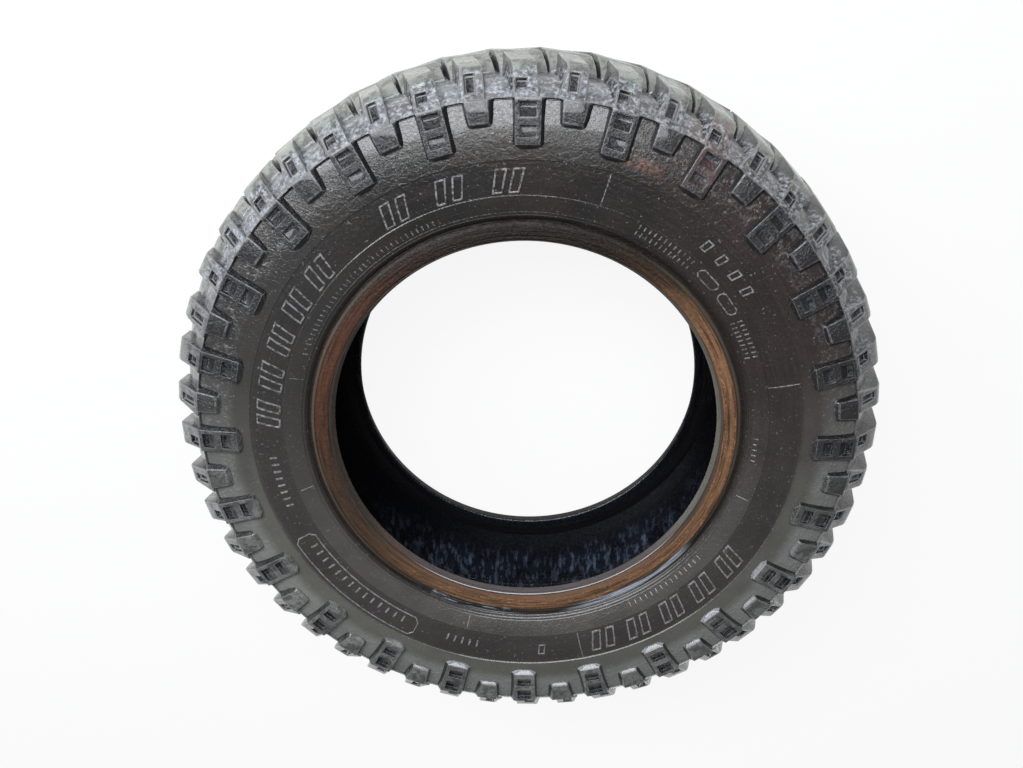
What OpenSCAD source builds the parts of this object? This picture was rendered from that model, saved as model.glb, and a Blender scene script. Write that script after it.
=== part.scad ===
// Worn mud-terrain tyre for a 15 inch rim, off its wheel and lying on its side wall.
// The tyre is one vulcanised moulding, so it is one solid.
// The tyre turns about Z. The middle of its width is z = 0, and the axis is x = y = 0.
// Outlines are drawn as [radius, height] for the upper half and mirrored for the lower one.

/* [Rim fit] */
// Diameter of the bead seats, as a 15 inch rim has
rim_d = 380.2; // [316:0.1:440]
// Width of the straight part of each bead seat
seat_w = 8; // [4:0.5:12]
// Width of each bead from its heel to its toe
bead_w = 16; // [14:0.5:24]
// How far the toe reaches inside the seat's radius
toe_drop = 3; // [1:0.5:4]
// Rounding of the bead's heel
heel_r = 3; // [1:0.5:4]
// Height of the rim's flange, which the bead's side lies against
flange_h = 17.5; // [12:0.5:22]

/* [Tyre size] */
// Diameter over the middle of the tread
tyre_d = 696; // [640:1:860]
// Width over the side walls at their widest
tyre_w = 196; // [180:1:260]
// Width of the tread from edge to edge
tread_w = 148; // [130:1:170]
// Radius of the tread's crown, seen along the tyre's section
crown_r = 350; // [240:1:420]
// How far the bead's heel lies inside the widest point
heel_inset = 13; // [12:1:22]

/* [Walls] */
// Thickness of the side wall
side_t = 9; // [6:0.5:12]
// Thickness of the casing and belts below the grooves
crown_t = 13; // [9:0.5:18]
// Thickness of the bead where it meets the side wall
bead_t = 13; // [10:0.5:16]

/* [Side wall] */
// Height of the widest point above the bead seat, as a share of the section's height
wide_share = 0.456; // [0.4:0.001:0.52]
// How far the side wall falls away from its widest point to the rim's flange
low_fall = 16.2; // [12:0.1:20]
// How far the side wall falls away from its widest point to the moulding step
high_fall = 6.6; // [3:0.1:14]
// Height of the raised rim line above the rubber round it
rim_line_t = 1.2; // [0.5:0.1:2]
// Width of the raised rim line
rim_line_w = 3; // [2:0.5:5]
// Depth of the sunk band that runs round the side wall
band_t = 0.8; // [0.4:0.1:1.5]
// Width of the sunk band
band_w = 31; // [20:1:34]

/* [Tread] */
// Number of ladder lugs round each shoulder, with a plain lug after each
lug_pairs = 24; // [20:1:26]
// Depth of the grooves that are left in the worn tread
groove_t = 14; // [8:0.5:16]
// Distance from the tread's edge down to the moulding step
shoulder_h = 35; // [30:0.5:44]
// How far the tread rubber stands out at the moulding step
step_t = 2; // [1:0.5:3]
// Width of a shoulder lug at the tread
lug_w = 22; // [16:0.5:24]
// Sideways run of the lug's sloping flank
flank_run = 10; // [6:0.5:12]
// Distance that a shoulder lug reaches in from the tread's edge
lug_reach = 38; // [28:1:44]
// Slant of the shoulder lugs across the tread, in degrees
lug_slant = 12; // [0:1:16]
// Width of the middle grooves
centre_gap = 9; // [6:0.5:12]

/* [Side lugs] */
// Height of the side lugs above the side wall
side_lug_t = 4.5; // [3:0.5:7]
// Length of a ladder lug below the moulding step
ladder_len = 41; // [34:1:46]
// Length of a plain lug below the moulding step
plain_len = 26; // [18:1:32]
// Width of the side lugs at the moulding step
side_lug_w = 23; // [18:0.5:26]
// Width of the side lugs at their lower end
side_lug_end_w = 17; // [12:0.5:20]
// Length of the chamfer at a side lug's lower end
end_chamfer = 8; // [4:0.5:10]
// Width of the ladder's two pockets
rung_w = 14; // [10:0.5:15]
// Thickness of the ladder's rungs
rung_t = 3; // [2:0.5:4]
// Width of the notch in the face of a plain shoulder lug
notch_w = 9; // [6:0.5:12]
// Length of that notch
notch_len = 19; // [12:0.5:22]
// Depth of the notches and pockets
notch_t = 4; // [2:0.5:5]

/* [Hidden] */
$fn = 96;

seat_r = rim_d / 2;
tyre_r = tyre_d / 2;
half_w = tyre_w / 2;
heel_z = half_w - heel_inset;
toe_z = heel_z - bead_w;
seat_end_z = heel_z - heel_r;
seat_start_z = seat_end_z - seat_w;
flange_r = seat_r + flange_h;
wide_r = seat_r + wide_share * (tyre_r - seat_r);

// the crown is an arc whose centre lies below the tread's middle
crown_c = tyre_r - crown_r;
edge_z = tread_w / 2;
edge_r = crown_c + sqrt(crown_r * crown_r - edge_z * edge_z);
floor_r = crown_r - groove_t;
liner_r = floor_r - crown_t;
step_r = tyre_r - shoulder_h;

// radius of an arc that falls by that much over a run
function arc_of(run, fall) = (run * run + fall * fall) / (2 * fall);
low_curve_r = arc_of(wide_r - flange_r, low_fall);
high_curve_r = arc_of(step_r - wide_r, high_fall);

// height of the side wall's outer face at a radius
function side_z(r) =
    let (curve = r < wide_r ? low_curve_r : high_curve_r)
    half_w - curve + sqrt(curve * curve - (r - wide_r) * (r - wide_r));
// radius of an arc about the crown's centre at a height
function crown_at(arc_r, z) = crown_c + sqrt(arc_r * arc_r - z * z);

flange_z = side_z(flange_r);
rim_line_r = flange_r + 2 * rim_line_w;
band_r0 = wide_r - band_w + rim_line_t;
band_r1 = band_r0 + band_w;
floor_edge_z = edge_z + step_t;
step_z = side_z(step_r) + step_t;
face_z = side_z(step_r) + side_lug_t;
ladder_r = step_r - ladder_len;
plain_r = step_r - plain_len;
lugs = 2 * lug_pairs;
pitch_a = 360 / lugs;
reach_z = edge_z - lug_reach;

// evenly spaced values from a to b
function steps(a, b, n) = [for (i = [0:n]) a + (b - a) * i / n];

// bead, from the toe over the seat and the heel to the top of the flange
bead_line = concat(
    [[seat_r - toe_drop, toe_z], [seat_r, seat_start_z], [seat_r, seat_end_z]],
    [for (a = [22.5:22.5:90])
        [seat_r + heel_r * (1 - cos(a)), seat_end_z + heel_r * sin(a)]],
    [[flange_r - heel_r, heel_z], [flange_r, (heel_z + flange_z) / 2]]);

// raised rim line just above the flange
rim_line = [
    [rim_line_r - rim_line_w / 2, side_z(rim_line_r - rim_line_w / 2)],
    [rim_line_r - rim_line_w / 4, side_z(rim_line_r) + rim_line_t],
    [rim_line_r + rim_line_w / 4, side_z(rim_line_r) + rim_line_t],
    [rim_line_r + rim_line_w / 2, side_z(rim_line_r + rim_line_w / 2)]];

// side wall with its sunk band
side_line = concat(
    [for (r = steps(rim_line_r + rim_line_w, band_r0, 2)) [r, side_z(r)]],
    [for (r = steps(band_r0 + band_t, band_r1 - band_t, 4)) [r, side_z(r) - band_t]],
    [for (r = steps(band_r1, step_r, 2)) [r, side_z(r)]]);

// step and sloping base of the shoulder, then the floor of the grooves
crown_line = concat(
    [[step_r, step_z], [crown_at(floor_r, floor_edge_z), floor_edge_z]],
    [for (z = steps(edge_z * 2 / 3, 0, 2)) [crown_at(floor_r, z), z]]);

// lining of the air space, from the tread down to the toe
liner_line = concat(
    [for (z = steps(0, edge_z * 3 / 4, 3)) [crown_at(liner_r, z), z]],
    [[crown_at(liner_r, edge_z) - side_t / 2, side_z(step_r) - side_t]],
    [for (r = steps(step_r - 2 * side_t, wide_r, 3)) [r, side_z(r) - side_t]],
    [for (r = steps(wide_r, flange_r + bead_t, 3)) [r, side_z(r) - side_t]],
    [[flange_r - heel_r, heel_z - bead_t], [seat_r + heel_r, toe_z - 1]]);

upper_line = concat(bead_line, rim_line, side_line, crown_line);
// the same outline on the other side of the middle, without a second point on it
function flip(line) =
    [for (i = [len(line) - 1:-1:0]) if (line[i][1] != 0) [line[i][0], -line[i][1]]];

// the side of the shoulder lugs, from the moulding step up to the tread's edge
face_slope = atan2(face_z - edge_z, edge_r - step_r);
face_len = norm([edge_r - step_r, face_z - edge_z]);
root_t = side_t / 2;

// top of the tread and root of the blocks at a height, the root being inside the casing
function top_at(z) = [crown_at(crown_r, z), z];
function root_at(z) = [crown_at(floor_r - root_t, z), z];

// a slab across the lug at y = 0, with its outline in the tyre's section
module slab(outline, w) {
    rotate([90, 0, 0]) linear_extrude(height = w, center = true) polygon(outline);
}

module round_the_tyre(count, turn = 0) {
    for (i = [0:count - 1]) rotate(360 / count * i + turn) children();
}

module both_sides() {
    children();
    rotate([180, 0, pitch_a / 2]) children();
}

module casing() {
    rotate_extrude()
        polygon(concat(upper_line, flip(upper_line), flip(liner_line), liner_line));
}

// height of a side lug's face at a radius, for a lug that ends at end_r
function lug_face_z(r, end_r) =
    let (high_r = end_r + end_chamfer, high_z = side_z(high_r) + side_lug_t)
    high_z + (face_z - step_t / 2 - high_z) * (r - high_r) / (step_r - high_r);

// stands on the side wall below the step, and is bevelled at its lower end
module side_lug(end_r) {
    bevel = end_chamfer / 2;
    top_r = step_r + step_t;
    intersection() {
        slab([
            [end_r, side_z(end_r) - root_t],
            [end_r, side_z(end_r)],
            [end_r + end_chamfer, lug_face_z(end_r + end_chamfer, end_r)],
            [top_r, lug_face_z(top_r, end_r)],
            [top_r, side_z(top_r) - root_t]], 2 * side_lug_w);
        linear_extrude(height = tyre_w) polygon([
            [end_r, side_lug_end_w / 2 - bevel],
            [end_r + bevel, side_lug_end_w / 2],
            [top_r, side_lug_w / 2],
            [top_r, -side_lug_w / 2],
            [end_r + bevel, -side_lug_end_w / 2],
            [end_r, -side_lug_end_w / 2 + bevel]]);
    }
}

// a pocket that is deep at its outer end and shallow at its inner end
module ramped_pocket(outer_r, inner_r) {
    slab([
        [outer_r, half_w + 2 * side_lug_t],
        [outer_r, lug_face_z(outer_r, ladder_r) - notch_t],
        [inner_r, lug_face_z(inner_r, ladder_r) - notch_t / 4],
        [inner_r, half_w + 2 * side_lug_t]], rung_w);
}

module ladder_lug() {
    top_r = step_r - rung_t;
    mid_r = step_r - (ladder_len - end_chamfer) * 3 / 5;
    low_r = ladder_r + end_chamfer;
    difference() {
        side_lug(ladder_r);
        ramped_pocket(top_r, mid_r + rung_t);
        ramped_pocket(mid_r, low_r);
    }
}

// a lug across the shoulder, upright on one flank and sloping on the other
module shoulder_lug() {
    foot_r = step_r - groove_t;
    high_r = edge_r + groove_t;
    intersection() {
        slab([
            root_at(reach_z), top_at(reach_z), top_at(edge_z),
            [step_r, face_z], [step_r, side_z(step_r) - root_t],
            root_at(edge_z)], 3 * lug_w);
        translate([0, 0, edge_z]) rotate([lug_slant, 0, 0])
            linear_extrude(height = 3 * lug_reach, center = true) polygon([
                [foot_r, -lug_w / 2],
                [high_r, -lug_w / 2],
                [high_r, lug_w / 2 - flank_run],
                [edge_r - groove_t, lug_w / 2 + flank_run],
                [foot_r, lug_w / 2 + flank_run]]);
    }
}

// slot in the sloping face of a shoulder lug
module face_notch() {
    translate([step_r, 0, face_z]) rotate([0, face_slope, 0])
        translate([face_len / 6, -notch_w / 2, -notch_t])
        cube([notch_len, notch_w, 3 * notch_t]);
}

module centre_block() {
    inner_z = centre_gap / 2;
    outer_z = reach_z - centre_gap;
    rotate([lug_slant, 0, 0])
        slab([root_at(inner_z), top_at(inner_z), top_at(outer_z), root_at(outer_z)],
            PI * tyre_d / lugs - centre_gap);
}

module tread() {
    both_sides() {
        round_the_tyre(lug_pairs) shoulder_lug();
        round_the_tyre(lug_pairs, pitch_a) difference() {
            shoulder_lug();
            face_notch();
        }
        round_the_tyre(lugs) centre_block();
    }
}

module side_lugs() {
    both_sides() {
        round_the_tyre(lug_pairs) ladder_lug();
        round_the_tyre(lug_pairs, pitch_a) side_lug(plain_r);
    }
}

module tyre() {
    color("#2d2c2b") {
        casing();
        tread();
        side_lugs();
    }
}

tyre();
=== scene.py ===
"""A worn mud-terrain tyre, off its rim and lying on its side wall on a pale floor."""

import math
import random

import bmesh
import bpy
from mathutils import Matrix, Vector


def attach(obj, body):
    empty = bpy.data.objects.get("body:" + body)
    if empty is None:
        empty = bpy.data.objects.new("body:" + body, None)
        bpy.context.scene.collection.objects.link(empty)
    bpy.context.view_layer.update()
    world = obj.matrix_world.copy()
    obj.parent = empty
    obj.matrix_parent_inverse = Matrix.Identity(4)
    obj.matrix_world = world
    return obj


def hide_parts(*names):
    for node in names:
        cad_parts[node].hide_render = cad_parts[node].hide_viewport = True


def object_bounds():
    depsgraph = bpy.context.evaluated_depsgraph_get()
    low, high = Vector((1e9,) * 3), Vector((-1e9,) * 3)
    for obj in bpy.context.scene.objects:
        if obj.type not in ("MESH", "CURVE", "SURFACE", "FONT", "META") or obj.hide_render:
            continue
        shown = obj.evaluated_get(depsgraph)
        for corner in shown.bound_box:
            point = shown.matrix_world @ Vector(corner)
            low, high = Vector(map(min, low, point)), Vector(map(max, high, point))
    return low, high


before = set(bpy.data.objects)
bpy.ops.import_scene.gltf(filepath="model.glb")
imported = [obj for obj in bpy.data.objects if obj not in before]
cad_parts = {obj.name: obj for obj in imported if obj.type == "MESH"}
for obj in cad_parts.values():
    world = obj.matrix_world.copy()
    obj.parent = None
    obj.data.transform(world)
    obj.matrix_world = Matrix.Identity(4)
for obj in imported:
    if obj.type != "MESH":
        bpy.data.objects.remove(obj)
cad_low, cad_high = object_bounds()

# ---------------------------------------------------------------- sizes, in millimetres

MM = 0.001

# bead and side wall, as [radius, height] from the tyre's middle
SEAT_R = 190.1
TOE_R = 187.1
TOE_Z = 69.0
HEEL_Z = 85.0
FLANGE_R = 207.6
HALF_W = 98.0
WIDE_R = 262.1
LOW_CURVE_R = 99.8
HIGH_CURVE_R = 199.6
BAND_R0 = 232.3
BAND_R1 = 263.3
BAND_T = 0.8
WALL_T = 9.0

# shoulder and tread
STEP_R = 313.0
STEP_Z = 93.4
EDGE_Z = 74.0
CROWN_C = -2.0
TREAD_R = 350.0
FLOOR_R = 336.0
LINER_R = 323.0
FACE_Z = 95.9
LUG_PAIRS = 24
PITCH = math.tau / (2 * LUG_PAIRS)
SLANT = math.radians(12)

# side lugs: the bevel at their lower end, their rise above the wall after it and before it
LUG_BEVEL = 4.2
LUG_RISE = 4.6
LUG_END_RISE = 0.8
LADDER_R = 272.0
# pockets of the ladder lugs: outer end, inner end and depth
POCKETS = ((310.8, 298.5, 5.4), (292.0, 282.0, 4.2))
LADDER_SHIFT = 0.6
POCKET_HALF_W = 7.2
# floor left at the inner end of a ladder lug's pocket, so that it has an edge there
POCKET_LIP = 0.7

# how far a lug's foot stands out past its face, on its easy flank and on its steeper one
FOOT_OUT = 6.5
FOOT_OUT_STEEP = 4.0
# how far the lugs reach into the casing, from the side wall and from the bottom of the grooves
SINK = 4.0
ROOT_R = FLOOR_R - 5.0
# how far past a pocket's sides its faces are looked for, and how far below the lug's face
PAST_SIDE = 0.2
BELOW_FACE = 0.3

# steps round the tyre in which its casing is spun, and the gap its ends are merged over
SPIN_STEPS = 192
MERGE = 0.02
# edges sharper than this stay sharp in the light
SMOOTH_DEGREES = 38
# further out and higher up than anything on the tyre
PAST_ALL = 400.0
# a turn of the tyre counts as one at this radius where rubber is streaked round it
STREAK_R = 8.0

# directions on the tyre, as the middle and half the width of an arc in degrees
DUSTY = (-95, 78, 26)
WET_LEFT = (-107, 14)
WET_RIGHT = (-57, 19)

# materials in the order of the tyre's slots
SIDE, TREAD, EDGE, BEAD, LINER, POCKET = range(6)


def side_z(r):
    """Height of the bare side wall at a radius."""
    curve = LOW_CURVE_R if r < WIDE_R else HIGH_CURVE_R
    return HALF_W - curve + math.sqrt(curve**2 - (r - WIDE_R) ** 2)


def crown_at(arc_r, z):
    """Radius of an arc about the crown's centre at a height."""
    return CROWN_C + math.sqrt(arc_r**2 - z**2)


# ---------------------------------------------------------------- modelling by hand


def to_object_mode():
    """Leaves edit mode, if a mesh is open."""
    if bpy.context.object and bpy.context.object.mode != "OBJECT":
        bpy.ops.object.mode_set(mode="OBJECT")


def choose(*pieces):
    """Only these are selected, and the last one is active."""
    to_object_mode()
    bpy.ops.object.select_all(action="DESELECT")
    for piece in pieces:
        piece.select_set(True)
        bpy.context.view_layer.objects.active = piece


def pick(kind, test):
    """Selects the open mesh's vertices, edges or faces that pass the test, which gets millimetres.

    That is a vertex's place, an edge's middle and its run, or a face's middle and normal.
    """
    bpy.ops.mesh.select_all(action="DESELECT")
    bpy.ops.mesh.select_mode(type=kind)
    mesh = bmesh.from_edit_mesh(bpy.context.object.data)
    if kind == "VERT":
        for v in mesh.verts:
            v.select_set(bool(test(v.co / MM)))
    elif kind == "EDGE":
        for e in mesh.edges:
            a, b = (v.co / MM for v in e.verts)
            e.select_set(bool(test((a + b) / 2, (b - a))))
    else:
        for f in mesh.faces:
            f.select_set(bool(test(f.calc_center_median() / MM, f.normal)))
    mesh.select_flush_mode()
    bmesh.update_edit_mesh(bpy.context.object.data)


def move(x=0.0, y=0.0, z=0.0):
    """Moves what is selected in the open mesh."""
    bpy.ops.transform.translate(value=(x * MM, y * MM, z * MM))


def drawn_line(name, points):
    """A closed line drawn from corner to corner by extruding a vertex, with points (x, y, z)."""
    choose()
    bpy.ops.mesh.primitive_plane_add(size=MM)
    piece = bpy.context.object
    piece.name = piece.data.name = name
    bpy.ops.object.mode_set(mode="EDIT")
    bpy.ops.mesh.select_mode(type="VERT")
    bpy.ops.mesh.select_all(action="SELECT")
    bpy.ops.mesh.merge(type="CENTER")
    at = Vector(points[0])
    move(*at)
    for point in points[1:]:
        step = (Vector(point) - at) * MM
        bpy.ops.mesh.extrude_vertices_move(TRANSFORM_OT_translate={"value": step})
        at = Vector(point)
    first, last = Vector(points[0]), at
    pick("VERT", lambda p: (p - first).length < 0.01 or (p - last).length < 0.01)
    bpy.ops.mesh.edge_face_add()
    return piece


def slab(name, outline, y0, y1):
    """A block with its outline drawn in the tyre's section, from y0 to y1 across it."""
    piece = drawn_line(name, [(r, y0, z) for r, z in outline])
    bpy.ops.mesh.select_all(action="SELECT")
    bpy.ops.mesh.edge_face_add()
    bpy.ops.mesh.extrude_region_move(
        TRANSFORM_OT_translate={"value": (0, (y1 - y0) * MM, 0)}
    )
    bpy.ops.mesh.select_all(action="SELECT")
    bpy.ops.mesh.normals_make_consistent(inside=False)
    return piece


def cut(x=None, y=None, z=None, normal=None):
    """Cuts every face of the open mesh along a plane, without taking anything away."""
    point = Vector((x or 0, y or 0, z or 0)) * MM
    if normal is None:
        normal = (x is not None, y is not None, z is not None)
    bpy.ops.mesh.select_all(action="SELECT")
    bpy.ops.mesh.bisect(plane_co=point, plane_no=Vector(normal))


def apply_bevel(piece, width, segments=2, angle=30):
    """Rounds the sharp edges of a piece as wear does, and gives the rounds the rubbed edge rubber
    with its painted highlight.
    """
    choose(piece)
    bevel = piece.modifiers.new("worn edges", "BEVEL")
    bevel.width = width * MM
    bevel.segments = segments
    bevel.limit_method = "ANGLE"
    bevel.angle_limit = math.radians(angle)
    bevel.material = EDGE
    bevel.use_clamp_overlap = True
    bpy.ops.object.modifier_apply(modifier=bevel.name)


def give_slots(piece, index):
    """Puts the tyre's materials on a piece, with all of its faces on one of them."""
    piece.data.materials.clear()
    for material in rubbers:
        piece.data.materials.append(material)
    for face in piece.data.polygons:
        face.material_index = index


# ---------------------------------------------------------------- materials

# sockets of the Mix node: two colours and what they give, and two numbers
COLOUR_A, COLOUR_B, MIXED_COLOUR = 6, 7, 2
NUMBER_A, NUMBER_B = 2, 3

RUBBER_IOR = 1.52


def shade(hexa):
    """An sRGB hex value as linear RGBA."""
    parts = [int(hexa[i : i + 2], 16) / 255 for i in (1, 3, 5)]
    return (
        *(c / 12.92 if c <= 0.04045 else ((c + 0.055) / 1.055) ** 2.4 for c in parts),
        1.0,
    )


def fill(tree, node, inputs):
    """Gives a node's inputs their links, or their plain values."""
    for key, value in inputs.items():
        if isinstance(value, bpy.types.NodeSocket):
            tree.links.new(value, node.inputs[key])
        else:
            node.inputs[key].default_value = value


def add(tree, kind, inputs=None, **settings):
    """Adds a node with its settings and inputs."""
    node = tree.nodes.new("ShaderNode" + kind)
    for key, value in settings.items():
        setattr(node, key, value)
    fill(tree, node, inputs or {})
    return node


def between(tree, value, low, high, soft):
    """1 where the value lies between low and high, fading over soft at both, in millimetres."""
    rise = add(
        tree,
        "MapRange",
        {"Value": value, "From Min": (low - soft) * MM, "From Max": (low + soft) * MM},
        interpolation_type="SMOOTHSTEP",
    )
    fall = add(
        tree,
        "MapRange",
        {"Value": value, "From Min": (high + soft) * MM, "From Max": (high - soft) * MM},
        interpolation_type="SMOOTHSTEP",
    )
    return times(tree, rise.outputs[0], fall.outputs[0])


def times(tree, *values):
    """Masks and weights, one times the other: what is left where all of them hold."""
    out = values[0]
    for value in values[1:]:
        out = add(tree, "Math", {0: out, 1: value}, operation="MULTIPLY").outputs[0]
    return out


def arc(tree, towards, degrees, half, soft=12):
    """1 on the part of the tyre that lies within half degrees of a direction."""
    aim = math.radians(degrees)
    near = add(
        tree,
        "VectorMath",
        {0: towards, 1: (math.cos(aim), math.sin(aim), 0)},
        operation="DOT_PRODUCT",
    )
    return add(
        tree,
        "MapRange",
        {
            "Value": near.outputs["Value"],
            "From Min": math.cos(math.radians(min(half + soft, 180))),
            "From Max": math.cos(math.radians(max(half - soft, 0))),
        },
        interpolation_type="SMOOTHSTEP",
    ).outputs[0]


def facing(tree, towards):
    """How far a face looks along the radius, and 1 on the flanks that look round the tyre."""
    normal = add(tree, "TexCoord").outputs["Normal"]
    dot = add(tree, "VectorMath", {0: normal, 1: towards}, operation="DOT_PRODUCT")
    outward = dot.outputs["Value"]
    upward = add(tree, "SeparateXYZ", {0: normal}).outputs[2]
    squares = {0: times(tree, outward, outward), 1: times(tree, upward, upward)}
    in_section = add(tree, "Math", squares, operation="ADD").outputs[0]
    flank = add(tree, "MapRange", {"Value": in_section, "From Min": 0.82, "From Max": 0.45})
    return outward, flank.outputs[0]


def noise(tree, at, size, low=0.35, high=0.65, detail=2, roughness=0.6):
    """Patches of a size in millimetres, from 0 to 1."""
    cloud = add(
        tree,
        "TexNoise",
        {"Vector": at, "Scale": 1000 / size, "Detail": detail, "Roughness": roughness},
    )
    return add(
        tree,
        "MapRange",
        {"Value": cloud.outputs["Fac"], "From Min": low, "From Max": high},
    ).outputs[0]


def painted(tree, colour, *layers):
    """A colour with others laid over it, each where its mask is 1."""
    out = shade(colour)
    for mask, over in layers:
        inputs = {0: mask, COLOUR_A: out, COLOUR_B: shade(over)}
        out = add(tree, "Mix", inputs, data_type="RGBA").outputs[MIXED_COLOUR]
    return out


def painted_value(tree, value, *layers):
    """As painted, for a plain number."""
    out = value
    for mask, over in layers:
        inputs = {0: mask, NUMBER_A: out, NUMBER_B: over}
        out = add(tree, "Mix", inputs, data_type="FLOAT").outputs[0]
    return out


def most(tree, a, b):
    """The greater of two masks."""
    return add(tree, "Math", {0: a, 1: b}, operation="MAXIMUM").outputs[0]


def places(tree):
    """Where a point is: coordinates, radius, height, direction, and coordinates for streaks."""
    at = add(tree, "TexCoord").outputs["Object"]
    xyz = add(tree, "SeparateXYZ", {0: at}).outputs
    flat = add(tree, "CombineXYZ", {0: xyz[0], 1: xyz[1]}).outputs[0]
    radius = add(tree, "VectorMath", {0: flat}, operation="LENGTH").outputs["Value"]
    towards = add(tree, "VectorMath", {0: flat}, operation="NORMALIZE").outputs[0]
    # on the bead, streaks come out 25 times as long as they are wide
    along = add(tree, "VectorMath", {0: towards, "Scale": STREAK_R * MM}, operation="SCALE")
    section = add(tree, "Math", {0: radius, 1: xyz[2]}, operation="ADD").outputs[0]
    across = add(tree, "CombineXYZ", {2: section})
    parts = {0: along.outputs[0], 1: across.outputs[0]}
    streaks = add(tree, "VectorMath", parts, operation="ADD").outputs[0]
    return at, radius, xyz[2], towards, streaks


def bumps(tree, *layers):
    """Bumps on bumps, each a height from 0 to 1 and its depth in millimetres."""
    out = None
    for height, depth in layers:
        links = {"Height": height, "Distance": depth * MM, "Strength": 1.0}
        if out is not None:
            links["Normal"] = out
        out = add(tree, "Bump", links).outputs[0]
    return out


def finished(name, build):
    """A material with its own name, built by one of the functions below."""
    material = bpy.data.materials.new(name)
    material.use_nodes = True
    tree = material.node_tree
    shader = tree.nodes["Principled BSDF"]
    build(tree, shader)
    return material


def set_shader(tree, shader, colour, roughness, normal, coat, coat_roughness):
    """Gives a rubber its look. The coat is the gloss of smooth or wet rubber."""
    inputs = {"Base Color": colour, "Roughness": roughness, "Normal": normal, "IOR": RUBBER_IOR}
    inputs |= {"Coat Weight": coat, "Coat Roughness": coat_roughness}
    fill(tree, shader, inputs)


def age_cracks(tree, at, size, width):
    """Fine cracks in old rubber, 1 in the cracks."""
    cells = add(
        tree, "TexVoronoi", {"Vector": at, "Scale": 1000 / size}, feature="DISTANCE_TO_EDGE"
    )
    return add(
        tree,
        "MapRange",
        {"Value": cells.outputs["Distance"], "From Min": width, "From Max": 0.0},
    ).outputs[0]


def side_rubber(tree, shader):
    """Side wall: carbon black rubber pressed smooth in the mould, shiny above and dusty below."""
    at, radius, _, towards, streaks = places(tree)
    cloud = noise(tree, at, 42, 0.3, 0.7, 3)
    stains = noise(tree, at, 75, 0.42, 0.6)
    fine = noise(tree, at, 2.4, 0.3, 0.7, 3, 0.75)
    speckle = noise(tree, at, 4.5, 0.5, 0.72, 2, 0.7)
    rings = noise(tree, streaks, 1.6)
    grit_and_glints = noise(tree, at, 2.8, 0.69, 0.76, 1)
    low_half = arc(tree, towards, -88, 84, 30)
    left = arc(tree, towards, 176, 38, 26)
    band = between(tree, radius, BAND_R0 + 0.5, BAND_R1 - 0.5, 2)
    low_band = times(tree, band, low_half)
    reddish = arc(tree, towards, 28, 34, 20)
    scuff = times(
        tree,
        arc(tree, towards, 69, 3.2, 1.6),
        between(tree, radius, 273, 282, 4),
        noise(tree, at, 3, 0.42, 0.62, 3),
    )
    outer = between(tree, radius, 262, 330, 4)
    between_lugs = between(tree, radius, 283, 330, 7)
    groove = between(tree, radius, 200, 213.5, 1.2)
    patchy = add(tree, "MapRange", {"Value": cloud, "To Min": 0.5, "To Max": 1.0}).outputs[0]
    colour = painted(
        tree,
        "#181716",
        (times(tree, cloud, 0.5), "#242322"),
        (times(tree, stains, 0.4), "#32281f"),
        (times(tree, reddish, cloud, 0.7), "#331f1f"),
        (times(tree, left, 0.55), "#3a3938"),
        (times(tree, low_half, patchy), "#4f4b47"),
        (times(tree, low_half, outer, patchy, 0.8), "#6a6b63"),
        (times(tree, low_half, between_lugs, patchy, 0.85), "#8f918f"),
        (times(tree, band, 0.35), "#1b1717"),
        (times(tree, low_band, 0.45), "#231f20"),
        (times(tree, groove, 0.85), "#191514"),
        (times(tree, fine, rings, 0.3), "#4d4946"),
        (times(tree, fine, cloud, 0.3), "#3b3a3b"),
        (times(tree, speckle, between_lugs, 0.3), "#8a8a8c"),
        # light specks: grit, and painted glints
        (times(tree, grit_and_glints, 0.6), "#7b7b7b"),
        (times(tree, scuff, 0.6), "#8c6353"),
    )
    dull = add(tree, "Math", {0: fine, 1: low_half}, operation="ADD").outputs[0]
    roughness = add(
        tree, "MapRange", {"Value": dull, "From Max": 2.0, "To Min": 0.12, "To Max": 0.45}
    ).outputs[0]
    # pebbled and shiny between the lugs, and nearly smooth on the rest of the wall
    pebbly = add(tree, "MapRange", {"Value": between_lugs, "To Min": 0.18, "To Max": 1.0})
    pebbled = times(tree, speckle, pebbly.outputs[0])
    normal = bumps(
        tree, (pebbled, 0.45), (fine, 0.15), (age_cracks(tree, at, 7, 0.05), 0.08)
    )
    set_shader(tree, shader, colour, roughness, normal, coat=0.5, coat_roughness=0.1)


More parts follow.
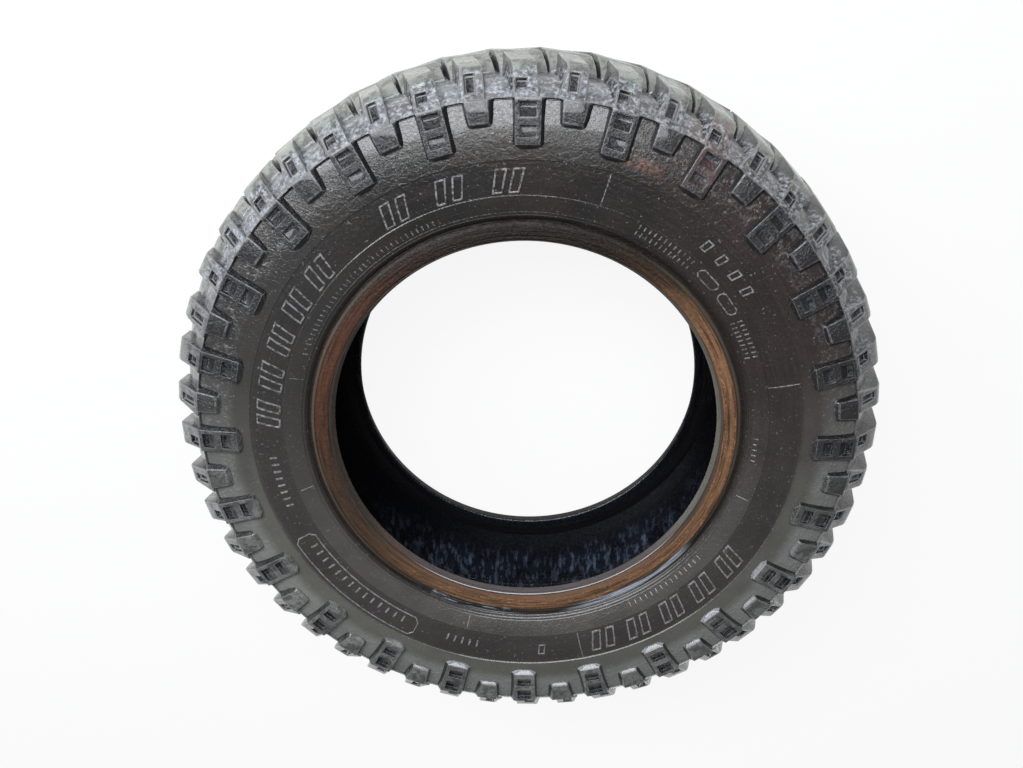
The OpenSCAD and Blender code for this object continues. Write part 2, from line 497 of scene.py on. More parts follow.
def tread_rubber(tree, shader):
    """Lugs and tread: the same rubber rubbed matt on the ground, with pale dust in its grooves,
    painted sheen and glints on the shoulders, and painted shade and highlight on the flanks and end
    facets.
    """
    at, radius, height, towards, _ = places(tree)
    outward, flank = facing(tree, towards)
    cloud = noise(tree, at, 30, 0.3, 0.7, 3)
    blotches = noise(tree, at, 11, 0.46, 0.6, 2, 0.7)
    fine = noise(tree, at, 2.0, 0.3, 0.7, 3, 0.75)
    speckle = noise(tree, at, 4.0, 0.45, 0.7, 2, 0.7)
    low_half = arc(tree, towards, *DUSTY)
    top_half = arc(tree, towards, 85, 70, 20)
    far_left = arc(tree, towards, 140, 62, 25)
    far_right = arc(tree, towards, -8, 34, 22)
    above_step = between(tree, radius, STEP_R + 0.5, PAST_ALL, 1.2)
    crown = between(tree, radius, 334, PAST_ALL, 8)
    # the lower end facets of the lugs, pale partly from rubbing and partly as painted highlight
    rubbed_ends_and_highlight = arc(tree, towards, -70, 42, 12)
    # the running face below the near shoulder is plainer and darker
    running_face = add(
        tree, "MapRange", {"Value": height, "From Min": 35 * MM, "From Max": -5 * MM}
    ).outputs[0]
    near_shoulder = times(
        tree,
        between(tree, radius, STEP_R + 0.5, FLOOR_R, 2),
        between(tree, height, 50, PAST_ALL, 12),
        top_half,
    )
    end_facet = add(
        tree, "MapRange", {"Value": outward, "From Min": -0.35, "From Max": -0.6}
    ).outputs[0]
    patchy = add(tree, "MapRange", {"Value": cloud, "To Min": 0.4, "To Max": 1.0}).outputs[0]
    dusty = add(tree, "MapRange", {"Value": fine, "To Min": 0.4, "To Max": 0.95}).outputs[0]
    red = times(
        tree, arc(tree, towards, 61, 4, 1.5), between(tree, radius, 270, 340, 4), cloud
    )
    colour = painted(
        tree,
        "#1e1d1e",
        (times(tree, cloud, 0.5), "#343334"),
        (times(tree, low_half, patchy), "#8b8c89"),
        (times(tree, above_step, dusty), "#6b6764"),
        # painted reflection: a pale blue-grey sheen on the shoulder at the upper left
        (times(tree, above_step, far_left, cloud, 0.8), "#8b8f97"),
        # pale crown: dust and a painted sheen
        (times(tree, crown, patchy), "#969c90"),
        (times(tree, above_step, far_right, 0.6), "#3c3b3b"),
        (times(tree, blotches, 0.6), "#242325"),
        (times(tree, red, 0.5), "#765750"),
        (times(tree, running_face, 0.75), "#53524f"),
        (times(tree, fine, 0.25), "#2a2829"),
        # painted shade: the flanks of the lugs are painted near black, where shadow falls between
        # them
        (times(tree, flank, 0.85), "#0f0e10"),
        # painted shade on the end facets of the lugs in the top half
        (times(tree, end_facet, top_half, 0.85), "#0f0f0e"),
        # painted highlight on the end facets in the lower half, partly rubbed pale rubber
        (times(tree, end_facet, rubbed_ends_and_highlight, 0.85), "#a9abb0"),
        # painted glints: pale blue-white specks on the near shoulder in the top half
        (times(tree, near_shoulder, speckle, 0.6), "#c9d0da"),
    )
    roughness = add(
        tree, "MapRange", {"Value": fine, "To Min": 0.2, "To Max": 0.5}
    ).outputs[0]
    normal = bumps(
        tree, (speckle, 0.45), (fine, 0.18), (age_cracks(tree, at, 6, 0.06), 0.08)
    )
    set_shader(tree, shader, colour, roughness, normal, coat=0.5, coat_roughness=0.1)


def pocket_rubber(tree, shader):
    """Pockets in the shoulder and ladder lugs: rubber with mud left in it, damp and never rubbed,
    painted near black as painted shade, with pale flecks of painted glint.
    """
    at, *_ = places(tree)
    mud = noise(tree, at, 5, 0.42, 0.62, 3, 0.7)
    fine = noise(tree, at, 1.8, 0.4, 0.6)
    # painted shade: the near black of the pocket; the pale bluish flecks are painted glints
    colour = painted(
        tree,
        "#111013",
        (times(tree, mud, 0.6), "#2c2628"),
        (times(tree, mud, fine, 0.5), "#6d7380"),
    )
    roughness = add(
        tree, "MapRange", {"Value": mud, "To Min": 0.2, "To Max": 0.6}
    ).outputs[0]
    normal = bumps(tree, (mud, 0.5), (fine, 0.2))
    set_shader(tree, shader, colour, roughness, normal, coat=0.4, coat_roughness=0.12)


def edge_rubber(tree, shader):
    """Worn edges and raised marks: rubbed smooth, so they catch the light in broken lines, and
    painted lighter, partly as rubbed rubber and partly as painted highlight.
    """
    at, radius, _, towards, _ = places(tree)
    fine = noise(tree, at, 3.0, 0.42, 0.6, 4, 0.7)
    low_half = arc(tree, towards, *DUSTY)
    above_step = between(tree, radius, STEP_R + 0.5, PAST_ALL, 1.2)
    on_wall = between(tree, radius, 200, 270, 1)
    # lighter than the rubber beside it: part rubbed rubber, part painted highlight along the edges
    # and the raised marks
    colour = painted(
        tree,
        "#333233",
        (times(tree, low_half, 0.7), "#68675f"),
        (times(tree, above_step, 0.75), "#7b7b78"),
        (times(tree, on_wall, fine), "#8f8d8c"),
        (times(tree, fine, 0.5), "#8b8b90"),
    )
    roughness = add(
        tree, "MapRange", {"Value": fine, "To Min": 0.4, "To Max": 0.15}
    ).outputs[0]
    normal = bumps(tree, (fine, 0.25))
    set_shader(tree, shader, colour, roughness, normal, coat=0.7, coat_roughness=0.06)


def bead_rubber(tree, shader):
    """Bead: hard rubber, stained in rings by a rusty rim, greyer on its seat, wet at the bottom,
    with painted glints on the wet parts.
    """
    at, radius, height, towards, streaks = places(tree)
    rings = noise(tree, streaks, 1.3, 0.4, 0.62, 3, 0.7)
    broad = noise(tree, streaks, 4.5, 0.42, 0.6)
    spots = noise(tree, at, 3.4, 0.42, 0.62, 3, 0.7)
    patches = noise(tree, at, 38, 0.35, 0.65, 3)
    dark_rings = noise(tree, streaks, 2.4, 0.53, 0.6)
    glints = noise(tree, streaks, 1.6, 0.5, 0.64, 3, 0.6)
    near = add(tree, "Math", {0: height, 1: 0.0}, operation="GREATER_THAN").outputs[0]
    far = add(tree, "Math", {0: height, 1: 0.0}, operation="LESS_THAN").outputs[0]
    rusty = arc(tree, towards, -38, 84, 30)
    bottom = arc(tree, towards, -88, 46, 14)
    dark_top = arc(tree, towards, 92, 36, 22)
    red_left = arc(tree, towards, 150, 30, 18)
    stained = between(tree, radius, 191, 203.5, 1.2)
    seat = between(tree, radius, 180, 191, 0.5)
    lip = between(tree, height, 60, 76.2, 0.6)
    line_in = times(tree, seat, between(tree, height, 77.8, 79.2, 0.4))
    line_out = between(tree, radius, 203.8, 204.6, 0.4)
    heel = between(tree, radius, 204.8, 207.2, 0.6)
    groove = between(tree, radius, 207.8, 230, 0.6)
    # painted glints where the rubber is wet on both sides of the lowest point, in spots on the left
    # and in streaks on the right
    glint_drops = times(
        tree, arc(tree, towards, *WET_LEFT, 6), glints, noise(tree, at, 9, 0.4, 0.6)
    )
    runs = times(
        tree,
        arc(tree, towards, *WET_RIGHT, 6),
        noise(tree, streaks, 2.4, 0.38, 0.54),
        between(tree, radius, 203, 209, 1.6),
    )
    shine = most(tree, glint_drops, runs)
    wet = times(
        tree,
        near,
        between(tree, radius, 202.6, 210, 1.2),
        most(tree, arc(tree, towards, *WET_RIGHT, 5), arc(tree, towards, *WET_LEFT, 5)),
    )
    wet_edge_and_glint = times(
        tree, seat, between(tree, height, 76.2, 77.8, 0.3), arc(tree, towards, -82, 40, 8)
    )
    uneven = add(tree, "MapRange", {"Value": broad, "To Min": 0.45, "To Max": 1.0}).outputs[0]
    colour = painted(
        tree,
        "#3c2e25",
        (times(tree, rings, 0.8), "#54402f"),
        (times(tree, red_left, stained, 0.5), "#5a3023"),
        (times(tree, rusty, stained, uneven), "#7b5a43"),
        (times(tree, rusty, stained, rings, spots), "#b5845c"),
        (times(tree, spots, patches, 0.5), "#2a1c16"),
        (times(tree, dark_rings, 0.6), "#221913"),
        (times(tree, heel, 0.8), "#504b43"),
        (times(tree, seat, 0.6), "#4d443c"),
        (times(tree, seat, bottom, 0.8), "#7b5a43"),
        (times(tree, seat, lip, rusty, 0.7), "#7c7a72"),
        (times(tree, seat, lip, bottom, 0.8), "#4f484c"),
        (times(tree, dark_top, 0.9), "#17110d"),
        (times(tree, line_in, 0.9), "#151110"),
        (times(tree, line_out, 0.7), "#1d1815"),
        (times(tree, groove, 0.8), "#171413"),
        (times(tree, wet, 0.85), "#1b1d22"),
        # painted glints on the wet rubber
        (times(tree, wet, shine, 0.9), "#ccd4e2"),
        # painted highlight: a bright line along the wet edge of the seat
        (times(tree, wet_edge_and_glint, 0.9), "#dddfe2"),
        (far, "#131214"),
    )
    roughness = painted_value(
        tree,
        0.55,
        (dark_top, 0.3),
        (wet, 0.1),
        (wet_edge_and_glint, 0.1),
        (times(tree, patches, 0.5), 0.38),
    )
    normal = bumps(tree, (broad, 0.5), (rings, 0.25), (spots, 0.3))
    water = most(tree, wet, wet_edge_and_glint)
    set_shader(tree, shader, colour, roughness, normal, coat=water, coat_roughness=0.08)
    shader.inputs["Specular IOR Level"].default_value = 0.22


def liner_rubber(tree, shader):
    """Lining: smooth butyl rubber with fine ribs from its bladder, and blue-grey marks at the
    bottom, partly marks on the rubber and partly painted reflection.
    """
    at, radius, _, towards, streaks = places(tree)
    fine = noise(tree, at, 3.0, 0.4, 0.65, 3, 0.7)
    # the blue-grey marks are drawn out outwards and down
    drawn = add(tree, "VectorMath", {0: at, 1: (1, 0.3, 0.3)}, operation="MULTIPLY").outputs[0]
    marks = noise(tree, drawn, 5, 0.5, 0.74, 3, 0.7)
    damp = noise(tree, at, 32, 0.4, 0.6)
    low = arc(tree, towards, -80, 40, 20)
    outside = between(tree, radius, 250, 340, 22)
    ribs = add(
        tree,
        "TexWave",
        {"Vector": streaks, "Scale": 60.0, "Distortion": 1.5, "Detail": 2.0},
        bands_direction="Z",
    ).outputs["Fac"]
    # painted reflection, partly marks: blue-grey patches and streaks at the bottom of the lining
    colour = painted(
        tree,
        "#0e0e12",
        (times(tree, low, fine, 0.6), "#23262f"),
        (times(tree, low, outside, damp, 0.6), "#252b38"),
        (times(tree, low, outside, marks, damp, 0.8), "#76839b"),
        (times(tree, low, outside, marks, 0.35), "#5d6980"),
    )
    roughness = add(
        tree, "MapRange", {"Value": marks, "To Min": 0.25, "To Max": 0.5}
    ).outputs[0]
    normal = bumps(tree, (marks, 0.25), (ribs, 0.12), (fine, 0.15))
    set_shader(tree, shader, colour, roughness, normal, coat=0.3, coat_roughness=0.15)


rubbers = [
    finished("moulded_side_rubber", side_rubber),
    finished("worn_tread_rubber_with_painted_light", tread_rubber),
    finished("rubbed_edge_rubber_with_painted_glints", edge_rubber),
    finished("rust_stained_bead_rubber", bead_rubber),
    finished("butyl_lining", liner_rubber),
    finished("muddy_pocket_rubber_with_painted_shade", pocket_rubber),
]

# ---------------------------------------------------------------- casing


def casing_outline():
    """Upper half of the section: outside, from the bead's toe to the tread, and inside."""
    bead = [
        (TOE_R + 0.2, TOE_Z + 0.3),
        (TOE_R, TOE_Z + 1.2),
        (SEAT_R - 0.9, TOE_Z + 4.0),
        (SEAT_R, TOE_Z + 5.6),
        (SEAT_R, HEEL_Z - 3.2),
        (SEAT_R + 0.4, HEEL_Z - 1.6),
        (SEAT_R + 1.4, HEEL_Z - 0.5),
        (SEAT_R + 3.0, HEEL_Z),
        (SEAT_R + 9.0, HEEL_Z + 0.1),
        (FLANGE_R - 3.4, HEEL_Z + 0.1),
        (FLANGE_R - 1.6, HEEL_Z - 0.5),
        (FLANGE_R + 0.2, HEEL_Z - 2.0),
        (FLANGE_R + 2.2, HEEL_Z - 2.0),
        (FLANGE_R + 3.6, HEEL_Z - 0.9),
    ]
    ribs = [
        (212.0, side_z(212.0) + 0.1),
        (212.5, side_z(212.5) + 1.0),
        (213.9, side_z(213.9) + 1.2),
        (214.5, side_z(214.5) + 0.1),
        (215.6, side_z(215.6) + 0.0),
        (216.0, side_z(216.0) + 0.6),
        (216.9, side_z(216.9) + 0.6),
        (217.4, side_z(217.4)),
    ]
    inside_band = (222.0, 227.0, BAND_R0 - 0.2)
    sunk = (BAND_R0 + 0.7, 240.0, 248.0, 256.0, BAND_R1 - 0.7)
    outside_band = (BAND_R1 + 0.2, 270.0, 278.0, 286.0, 294.0, 302.0, 309.0, 311.6)
    wall = [(r, side_z(r)) for r in inside_band]
    wall += [(r, side_z(r) - BAND_T) for r in sunk]
    wall += [(r, side_z(r)) for r in outside_band]
    step = [
        (STEP_R - 1.0, side_z(STEP_R - 1.0) - 0.9),
        (STEP_R - 0.1, side_z(STEP_R) - 0.8),
        (STEP_R, STEP_Z - 0.6),
        (STEP_R + 0.7, STEP_Z + 0.1),
    ]
    grooves = [(317.0, 88.6), (321.5, 82.2), (325.0, 76.5), (327.4, 70.0)]
    grooves += [(crown_at(FLOOR_R, z), float(z)) for z in (60, 45, 30, 15, 0)]
    lining = [(crown_at(LINER_R, z), float(z)) for z in (0, 18, 36, 54)]
    lining += [(314.0, 68.0), (307.9, 77.5), (300.0, 81.5)]
    lining += [(r, side_z(r) - WALL_T) for r in (290, 276, 262, 248, 234, 222)]
    lining += [(212.0, 75.6), (204.0, 71.8), (197.0, 69.4), (191.5, 68.2), (188.6, 68.2)]
    return bead + ribs + wall + step + grooves, lining


def spun_casing():
    """The tyre without its lugs, spun from its section, with each part of it in its own rubber."""
    outer, inner = casing_outline()
    upside_down = [(r, -z) for r, z in reversed(outer) if z > 0]
    inside = [(r, -z) for r, z in reversed(inner)] + [(r, z) for r, z in inner if z > 0]
    outline = outer + upside_down + inside
    piece = drawn_line("casing", [(r, 0, z) for r, z in outline])
    bpy.ops.mesh.select_all(action="SELECT")
    bpy.ops.mesh.spin(
        steps=SPIN_STEPS, angle=math.tau, center=(0, 0, 0), axis=(0, 0, 1)
    )
    bpy.ops.mesh.select_all(action="SELECT")
    bpy.ops.mesh.remove_doubles(threshold=MERGE * MM)
    bpy.ops.mesh.normals_make_consistent(inside=False)
    to_object_mode()
    give_slots(piece, SIDE)
    for face in piece.data.polygons:
        middle = face.center / MM
        r, z = math.hypot(middle.x, middle.y), abs(middle.z)
        outward = Vector((middle.x, middle.y, 0)).normalized().dot(face.normal)
        faces_in = face.normal.z * middle.z < 0
        under_tread = r > 300 and z < 84 and outward < -0.5
        if r < FLANGE_R + 3.8 and z > TOE_Z:
            face.material_index = BEAD
        elif r > STEP_R and outward > 0.2:
            face.material_index = TREAD
        elif faces_in or under_tread:
            face.material_index = LINER
    return piece


# ---------------------------------------------------------------- lugs


def lug_face_z(r, end_r):
    """Height of a side lug's face at a radius, for a lug that ends at end_r."""
    high_r = end_r + LUG_BEVEL
    high_z = side_z(high_r) + LUG_RISE
    return high_z + (FACE_Z + 2.3 - high_z) * (r - high_r) / (STEP_R - high_r)


def side_lug(name, end_r, end_w, step_w, shift, corner):
    """A block on the side wall below the moulding step, narrower and bevelled at its lower end."""
    top_r = STEP_R + 1.0
    outline = [
        (end_r, side_z(end_r) - SINK),
        (end_r, side_z(end_r) + LUG_END_RISE),
        (end_r + LUG_BEVEL, lug_face_z(end_r + LUG_BEVEL, end_r)),
        (top_r, lug_face_z(top_r, end_r)),
        (top_r, side_z(top_r) - SINK),
    ]
    piece = slab(name, outline, -step_w / 2, step_w / 2)
    # drawn in at the lower end
    narrow = end_w / step_w
    pick("VERT", lambda p: p.x < end_r + 1)
    bpy.ops.transform.resize(value=(1, narrow, 1), center_override=(0, 0, 0))
    share = narrow + (1 - narrow) * LUG_BEVEL / (STEP_R - end_r)
    pick("VERT", lambda p: end_r + 1 < p.x < end_r + LUG_BEVEL + 1)
    bpy.ops.transform.resize(value=(1, share, 1), center_override=(0, 0, 0))
    # wider at its foot than on its face, and more so on one flank
    pick("VERT", lambda p: p.z < side_z(min(p.x, STEP_R)) - 1 and p.y < 0)
    move(y=-FOOT_OUT)
    pick("VERT", lambda p: p.z < side_z(min(p.x, STEP_R)) - 1 and p.y > 0)
    move(y=FOOT_OUT_STEEP)
    # corners of the lower end
    pick("EDGE", lambda m, d: m.x < end_r + 0.5 and abs(d.z) > 2)
    bpy.ops.mesh.bevel(offset=corner * MM, segments=1, affect="EDGES")
    bpy.ops.mesh.select_all(action="SELECT")
    move(y=shift)
    return piece


def plain_side_lug():
    """A short wedge of a lug, between two ladder lugs."""
    piece = side_lug("plain_side_lug", end_r=291.0, end_w=17.0, step_w=21.5, shift=1.3, corner=1.6)
    to_object_mode()
    give_slots(piece, TREAD)
    apply_bevel(piece, width=1.1)
    return piece


def ramp_start(r_out, r_in):
    """Where the level outer part of a pocket's floor ends and its rise to the inner end begins."""
    return 0.6 * r_out + 0.4 * r_in


def ladder_side_lug():
    """Two rails and a rung. Both pockets are deep at the outer end and run out at the inner one."""
    piece = side_lug(
        "ladder_side_lug", end_r=LADDER_R, end_w=21.5, step_w=22.5, shift=LADDER_SHIFT, corner=4.0
    )
    for r_out, r_in, _ in POCKETS:
        cut(x=r_out)
        cut(x=ramp_start(r_out, r_in))
        cut(x=r_in)
    cut(y=LADDER_SHIFT - POCKET_HALF_W)
    cut(y=LADDER_SHIFT + POCKET_HALF_W)
    for r_out, r_in, depth in POCKETS:
        pick(
            "FACE",
            lambda m, n: n.z > 0.7
            and r_in < m.x < r_out
            and abs(m.y - LADDER_SHIFT) < POCKET_HALF_W,
        )
        bpy.ops.mesh.extrude_region_move(
            TRANSFORM_OT_translate={"value": (0, 0, -depth * MM)}
        )
        low = lug_face_z(r_in, LADDER_R) - depth / 2
        pick(
            "VERT",
            lambda p: abs(p.x - r_in) < 0.5
            and abs(p.y - LADDER_SHIFT) < POCKET_HALF_W + 0.5
            and low - depth < p.z < low,
        )
        move(z=depth - POCKET_LIP)
    to_object_mode()
    give_slots(piece, TREAD)
    for face in piece.data.polygons:
        place = face.center / MM
        sunk = lug_face_z(place.x, LADDER_R) - place.z > 0.4
        between_rails = abs(place.y - LADDER_SHIFT) < POCKET_HALF_W + PAST_SIDE
        for r_out, r_in, _ in POCKETS:
            ramp = face.normal.z > 0.5 and place.x < ramp_start(r_out, r_in)
            between_rungs = r_in - PAST_SIDE < place.x < r_out + PAST_SIDE
            if sunk and between_rails and between_rungs and not ramp:
                face.material_index = POCKET
    apply_bevel(piece, width=0.9)
    return piece


def slanted(piece):
    """Sets the part of a piece that lies on the tread askew to the tyre's axis."""
    to_object_mode()
    for vertex in piece.data.vertices:
        vertex.co.y += max(EDGE_Z * MM - vertex.co.z, 0) * math.tan(SLANT)


def shoulder_lug(name, top, foot, pockets):
    """A lug across the shoulder. top and foot are the places of its two sides at its ends.

    A pocket is where it starts and ends up the sloping face, its two sides and its depth.
    """
    outline = [
        (crown_at(ROOT_R, 30), 30.0),
        (crown_at(TREAD_R, 30), 30.0),
        (crown_at(TREAD_R, 58), 58.0),
        (342.0, 67.0),
        (339.6, 73.0),
        (336.5, 77.0),
        (STEP_R + 0.2, FACE_Z),
        (STEP_R + 0.2, 88.0),
        (crown_at(ROOT_R, 76), 74.0),
    ]
    piece = slab(name, outline, *top)
    pick("VERT", lambda p: p.z > 90 and p.y < 0)
    move(y=foot[0] - top[0])
    pick("VERT", lambda p: p.z > 90 and p.y > 0)
    move(y=foot[1] - top[1])
    # the foot stands out on one side only
    pick("VERT", lambda p: p.x < 334 and p.z < 92 and p.y > 0)
    move(y=FOOT_OUT)
    up = Vector((340.1 - STEP_R, 0, EDGE_Z - FACE_Z)).normalized()
    out = Vector((-up.z, 0, up.x))
    corner = Vector((STEP_R, 0, FACE_Z))
    for start, end, side0, side1, depth in pockets:
        for along in (start, end):
            at = corner + up * along
            cut(x=at.x, z=at.z, normal=up)
        cut(y=side0)
        cut(y=side1)
        pick(
            "FACE",
            lambda m, n: n.dot(out) > 0.9
            and side0 < m.y < side1
            and start < (m - corner).dot(up) < end,
        )
        bpy.ops.mesh.extrude_region_move(
            TRANSFORM_OT_translate={"value": out * -depth * MM}
        )
    slanted(piece)
    give_slots(piece, TREAD)
    for face in piece.data.polygons:
        place = face.center / MM
        along, above = (place - corner).dot(up), (place - corner).dot(out)
        for start, end, side0, side1, _ in pockets:
            up_it = start - PAST_SIDE < along < end + PAST_SIDE
            across_it = side0 - PAST_SIDE < place.y < side1 + PAST_SIDE
            if up_it and across_it and above < -BELOW_FACE:
                face.material_index = POCKET
    apply_bevel(piece, width=1.3)
    return piece


def centre_block():
    """A block of the two middle rows of the tread, which runs down between the shoulder lugs."""
    outline = [
        (crown_at(ROOT_R, 4), 4.0),
        (crown_at(TREAD_R, 4), 4.0),
        (crown_at(TREAD_R, 22), 22.0),
        (344.3, 30.0),
        (339.5, 40.0),
        (333.0, 48.0),
        (crown_at(ROOT_R, 48), 48.0),
    ]
    piece = slab("centre_block", outline, y0=-20.8, y1=20.8)
    pick("EDGE", lambda m, d: m.y > 10 and m.x > 335 and m.z > 20)
    bpy.ops.mesh.bevel(offset=5 * MM, segments=2, affect="EDGES")
    slanted(piece)
    give_slots(piece, TREAD)
    apply_bevel(piece, width=1.6)
    return piece


# ---------------------------------------------------------------- marks moulded on the side wall


def wall_z(r):
    """Height of the side wall as moulded, with its sunk band."""
    return side_z(r) - (BAND_T if BAND_R0 < r < BAND_R1 else 0.0)


def bar(r0, r1, half, at0=0.0, at1=0.0):
    """Corners of a bar from one radius to another, with its middle at a place for each end."""
    return [(r0, at0 - half), (r0, at0 + half), (r1, at1 + half), (r1, at1 - half)]


def clipped(r0, r1, half, corner):
    """Corners of a long plate with its four corners clipped."""
    inner, outer, end = r0 + corner, r1 - corner, half - corner
    right = [(r0, end), (inner, half), (outer, half), (r1, end)]
    return right + [(r, -along) for r, along in reversed(right)]


def raised(name, corners, height, rim=0.0, steps=()):
    """A raised mark with corners (radius, distance round the tyre), or only its rim."""
    piece = drawn_line(name, [(r, along, 0) for r, along in corners])
    bpy.ops.mesh.select_all(action="SELECT")
    bpy.ops.mesh.edge_face_add()
    if rim:
        bpy.ops.mesh.select_mode(type="FACE")
        bpy.ops.mesh.inset(thickness=rim * MM)
        bpy.ops.mesh.delete(type="FACE")
    # cut across, so that it can follow the curve of the wall
    for r in (240, 246, 252):
        cut(x=r)
    for along in steps:
        cut(y=along)
    bpy.ops.mesh.select_all(action="SELECT")
    bpy.ops.mesh.extrude_region_move(TRANSFORM_OT_translate={"value": (0, 0, MM)})
    bpy.ops.mesh.select_all(action="SELECT")
    bpy.ops.mesh.normals_make_consistent(inside=False)
    to_object_mode()
    middle = sum(r for r, _ in corners) / len(corners)
    for vertex in piece.data.vertices:
        r, turn = vertex.co.x / MM, vertex.co.y / MM / middle
        lift = height if vertex.co.z > MM / 2 else -1.2
        place = Vector((r * math.cos(turn), r * math.sin(turn), wall_z(r) + lift))
        vertex.co = place * MM
    give_slots(piece, EDGE)
    apply_bevel(piece, width=min(0.3, height * 0.4), segments=1, angle=50)
    return piece


def marked(model, *degrees):
    """Copies of a mark at places round the near side wall."""
    copies = []
    for turn in degrees:
        copy = model.copy()
        copy.data = model.data.copy()
        bpy.context.scene.collection.objects.link(copy)
        copy.data.transform(Matrix.Rotation(math.radians(turn), 4, "Z"))
        copies.append(copy)
    bpy.data.objects.remove(model)
    return copies


def row(start, end, count):
    """Angles in even steps."""
    return [start + (end - start) * i / (count - 1) for i in range(count)]


def side_marks():
    """Plain bars, ticks and frames where a tyre has its markings, and the mould's joints."""
    marks = []
    # pairs of outlined bars in the sunk band
    lean = 3.0
    for shift in (-7.5, 7.5):
        outline = bar(234.6, 256.8, 5.0, shift + lean, shift - lean)
        outlined = raised("outlined_bar", outline, height=0.9, rim=1.7)
        marks += marked(outlined, *row(174.5, 138.5, 5), *row(117.5, 93.5, 3), *row(-33, -70, 5))
    outline = bar(241.5, 252.5, 3.6, 0.8, -0.8)
    small = raised("small_outlined_bar", outline, height=0.7, rim=1.4)
    marks += marked(small, *row(50, 37, 4), -85.5)
    # rows of ticks
    both = [*row(64, 49.5, 12), *row(31.5, 22, 9)]
    tick = raised("tick", bar(219.2, 223.8, 0.7), height=0.5)
    marks += marked(tick, *row(158, 110, 36), *both, *row(0, -6, 5), *row(-37, -60, 15))
    outer_tick = raised("outer_tick", bar(226.2, 230.6, 0.7), height=0.5)
    marks += marked(outer_tick, *both)
    band_tick = raised("band_tick", bar(241.5, 248.8, 1.0, 0.0, -0.4), height=0.6)
    marks += marked(band_tick, *row(-101.5, -109, 5), *row(-162, -174.5, 8), *row(-121, -150, 14))
    # frames
    outline = clipped(237.4, 259.6, half=79.0, corner=5.0)
    long_frame = raised("long_frame", outline, height=0.8, rim=1.3, steps=range(-70, 71, 10))
    marks += marked(long_frame, -135.3)
    outline = clipped(221.6, 231.6, half=12.0, corner=3.0)
    small_frame = raised("small_frame", outline, height=0.7, rim=1.3)
    marks += marked(small_frame, 44.0, 36.6)
    # joints of the mould
    long_joint = raised("mould_joint", bar(216.5, 262.0, 0.5), height=0.45)
    marks += marked(long_joint, 73.8, 13.5, -76)
    short_joint = raised("short_mould_joint", bar(217.5, 229.5, 0.5), height=0.45)
    marks += marked(short_joint, -105, -16.6, -164.6, 165)
    return marks


# ---------------------------------------------------------------- round the tyre

wear = random.Random(11)


def crept(place):
    """How far a lug sits out of an even spacing, as on a tyre that is no longer quite round."""
    at = place @ Vector((1, 0, 0))
    return math.radians(-0.9 * at.x - 0.2 * (1 + at.y))


def copied_round(model, count, turn):
    """Copies round the near side, then turned over round the far side, each worn a little apart."""
    copies = []
    for far_side in (False, True):
        for i in range(count):
            copy = model.copy()
            copy.data = model.data.copy()
            bpy.context.scene.collection.objects.link(copy)
            place = Matrix.Rotation(turn + math.tau / count * i, 4, "Z")
            if far_side:
                place = (
                    Matrix.Rotation(PITCH / 2, 4, "Z")
                    @ Matrix.Rotation(math.pi, 4, "X")
                    @ place
                )
            place = Matrix.Rotation(crept(place), 4, "Z") @ place
            worn = Matrix.Diagonal((1, wear.uniform(0.97, 1.03), 1, 1))
            askew = Matrix.Rotation(math.radians(wear.uniform(-0.12, 0.12)), 4, "Z")
            copy.data.transform(place @ askew @ worn)
            copies.append(copy)
    bpy.data.objects.remove(model)
    return copies


casing = spun_casing()
lugs = []
ladder_shoulder = shoulder_lug(
    "ladder_shoulder",
    top=(-7.7, 14.0),
    foot=(-9.7, 11.3),
    pockets=((6.5, 20.0, 0.8, 10.6, 5.0),),
)
plain_shoulder = shoulder_lug(
    "plain_shoulder",
    top=(-6.2, 12.5),
    foot=(-6.0, 18.4),
    pockets=((8.2, 28.2, 1.4, 10.2, 4.6),),
)
lugs += copied_round(ladder_shoulder, LUG_PAIRS, 0)
lugs += copied_round(plain_shoulder, LUG_PAIRS, PITCH)
lugs += copied_round(ladder_side_lug(), LUG_PAIRS, 0)
lugs += copied_round(plain_side_lug(), LUG_PAIRS, PITCH)
lugs += copied_round(centre_block(), 2 * LUG_PAIRS, 0)
lugs += side_marks()

choose(*lugs, casing)
bpy.ops.object.join()
tyre = casing
tyre.name = tyre.data.name = "tyre_rubber"
choose(tyre)
bpy.ops.object.shade_smooth_by_angle(angle=math.radians(SMOOTH_DEGREES))

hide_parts("tyre")
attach(tyre, "root")

# ---------------------------------------------------------------- floor

choose()
bpy.ops.mesh.primitive_plane_add(size=8, location=(0, 0, cad_low[2]))
floor = bpy.context.object
floor.name = "floor"


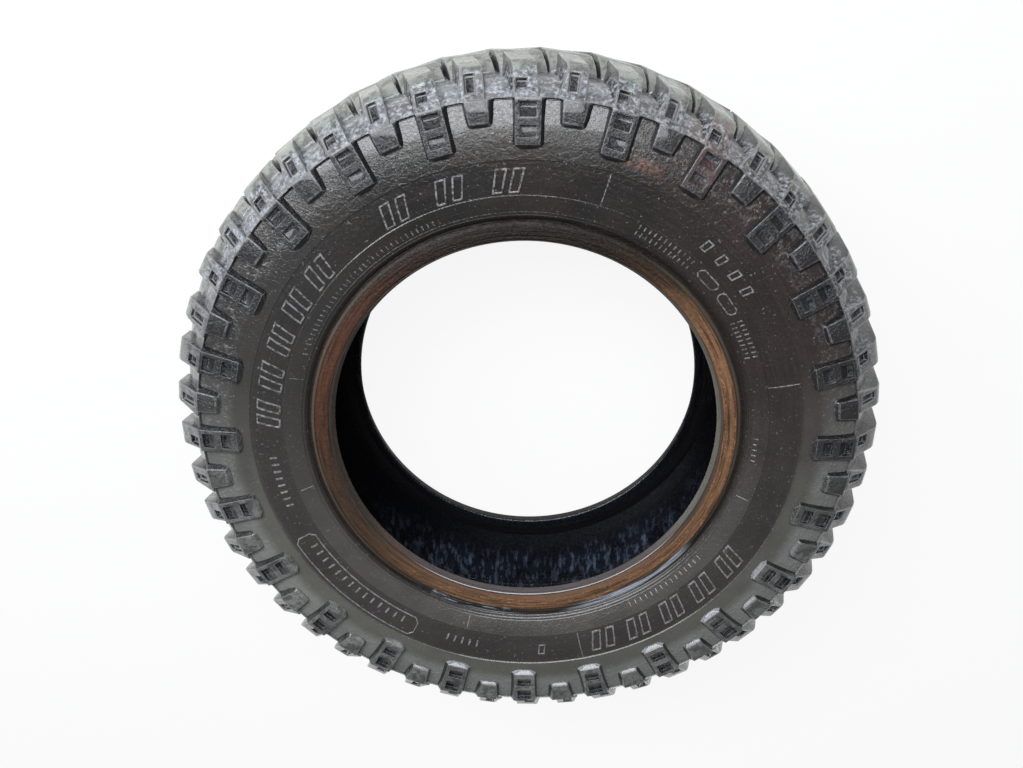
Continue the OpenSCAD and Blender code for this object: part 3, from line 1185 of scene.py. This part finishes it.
def floor_paint(tree, board):
    """Matt pale paint, which takes the tyre's shadow and looks nearly white to the camera."""
    fill(tree, board, {"Base Color": shade("#e9e9e7"), "Roughness": 0.8})
    glow = add(tree, "Emission", {"Color": (1, 1, 1, 1)})
    rays = add(tree, "LightPath").outputs
    seen = most(tree, rays["Is Camera Ray"], rays["Is Glossy Ray"])
    seen = most(tree, rays["Is Transmission Ray"], seen)
    layers = {0: times(tree, seen, 0.9), 1: board.outputs[0], 2: glow.outputs[0]}
    mixed = add(tree, "MixShader", layers)
    tree.links.new(mixed.outputs[0], tree.nodes["Material Output"].inputs[0])


floor.data.materials.append(finished("pale_floor", floor_paint))

# ---------------------------------------------------------------- light and camera


DAYLIGHT = (0.93, 0.965, 1.0)
WORLD_STRENGTH = 0.2


def lamp(name, place, aim, size, power):
    """A soft rectangular lamp, aimed at a point."""
    light = bpy.data.lights.new(name, "AREA")
    light.shape = "RECTANGLE"
    light.size, light.size_y = size
    light.energy = power
    light.color = DAYLIGHT
    holder = bpy.data.objects.new(name, light)
    bpy.context.scene.collection.objects.link(holder)
    holder.location = place
    holder.rotation_euler = (Vector(aim) - Vector(place)).to_track_quat("-Z", "Y").to_euler()


lamp(
    "overhead softbox",
    place=(-0.78, 0.98, 1.3),
    aim=(-0.78, 0.98, 0),
    size=(2.3, 0.95),
    power=60,
)

world = bpy.data.worlds.new("studio")
bpy.context.scene.world = world
world.use_nodes = True
background = world.node_tree.nodes["Background"]
fill(world.node_tree, background, {"Color": (1, 1, 1, 1), "Strength": WORLD_STRENGTH})

CAMERA_PLACE = Vector((0.01251534, 0.37867626, 0.87856841))
CAMERA_AHEAD = Vector((-0.02912544, -0.37957994, -0.92470037))
CAMERA_UP = Vector((-0.0100964, 0.92515735, -0.37944952))
SENSOR_W = 36
LENS = 31.89

ahead = CAMERA_AHEAD.normalized()
right = ahead.cross(CAMERA_UP.normalized()).normalized()
up = right.cross(ahead)
lens = bpy.data.cameras.new("camera")
camera = bpy.data.objects.new("camera", lens)
bpy.context.scene.collection.objects.link(camera)
camera.matrix_world = Matrix(
    (
        (right.x, up.x, -ahead.x, CAMERA_PLACE.x),
        (right.y, up.y, -ahead.y, CAMERA_PLACE.y),
        (right.z, up.z, -ahead.z, CAMERA_PLACE.z),
        (0, 0, 0, 1),
    )
)
lens.sensor_width = SENSOR_W
lens.lens = LENS
bpy.context.scene.camera = camera
bpy.context.scene.view_settings.view_transform = "Standard"
